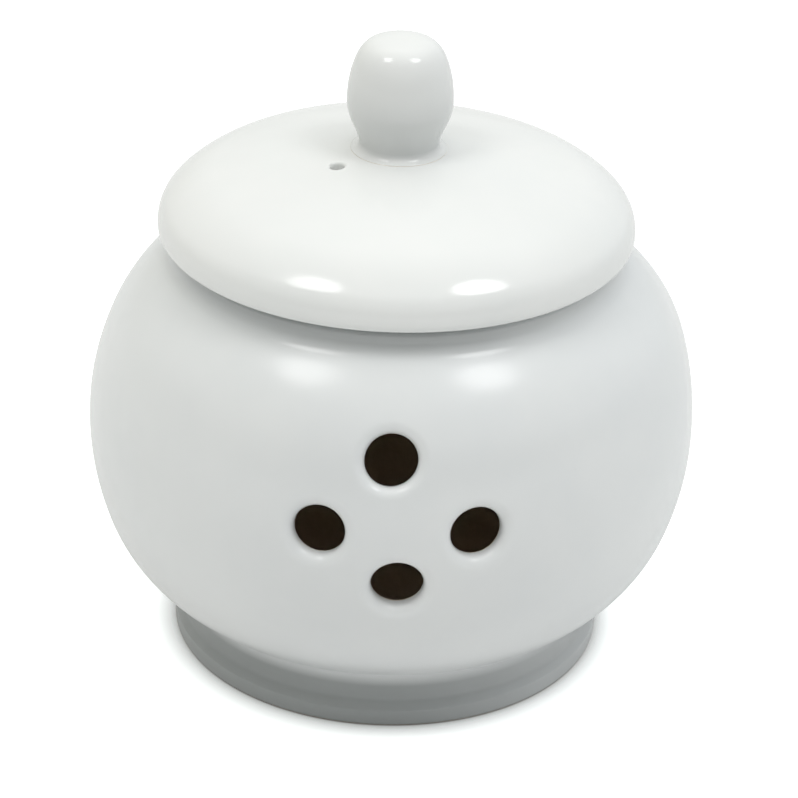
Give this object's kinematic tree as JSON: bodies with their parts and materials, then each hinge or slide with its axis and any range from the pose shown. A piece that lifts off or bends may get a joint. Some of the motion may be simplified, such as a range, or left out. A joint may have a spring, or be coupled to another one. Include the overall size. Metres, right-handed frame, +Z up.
{
  "type": "garlic keeper",
  "caption": "Pot-bellied glazed ceramic garlic keeper on a foot ring, with round vents through the belly and a loose domed lid with an egg-shaped knob.",
  "frame": {"origin": "on the table, on the jar's axis, under the middle of the foot ring", "axes": "+Z up along the axis of the jar and lid, the vents face -Y, +X to the right of someone facing the vents"},
  "size_m": [0.12, 0.12, 0.126],
  "materials": {
    "jar_glaze": "glossy white glaze outside, bare clay inside and under the foot ring",
    "lid_glaze": "glossy white glaze, pooled a little round the knob's root"
  },
  "bodies": {
    "jar": {"jar": "jar_glaze"},
    "lid": {"lid": "lid_glaze", "lid_knob": "lid_glaze"}
  },
  "joints": [
    {"name": "lid_lift", "type": "slide", "parent": "jar", "child": "lid", "axis": [0, 0, 1], "range_m": [0, 0.06]}
  ]
}
